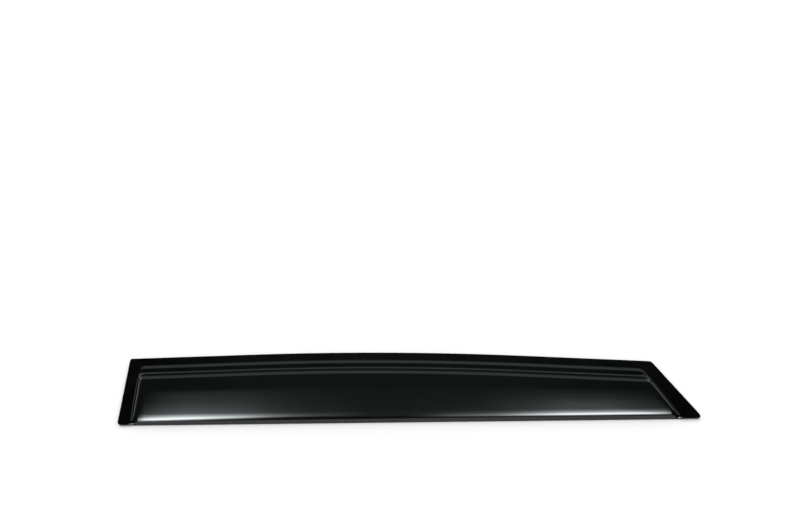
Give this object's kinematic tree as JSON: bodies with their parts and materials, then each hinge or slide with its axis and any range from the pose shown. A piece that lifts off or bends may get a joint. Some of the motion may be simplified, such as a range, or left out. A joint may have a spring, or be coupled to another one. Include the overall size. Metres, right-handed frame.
{
  "type": "window rain deflector",
  "caption": "Moulded smoked acrylic rain deflector for a rear side window, with a stepped top, a rolled free edge and a taped flange.",
  "frame": {"origin": "middle of the deflector's outline, on the plane of the release film that it rests on", "axes": "+X along the free edge towards the raked end, +Y up the window towards the stepped top, +Z out from the glass"},
  "size_m": [0.7474, 0.1014, 0.0116],
  "materials": {
    "smoked_acrylic": "high gloss, dark smoked",
    "foam_tape": "dull closed-cell foam",
    "release_film": "smooth red film"
  },
  "bodies": {
    "root": {"visor": "smoked_acrylic", "tape_top": "foam_tape", "tape_plumb_end": "foam_tape", "tape_raked_end": "foam_tape", "film_top": "release_film", "film_plumb_end": "release_film", "film_raked_end": "release_film"}
  },
  "joints": []
}
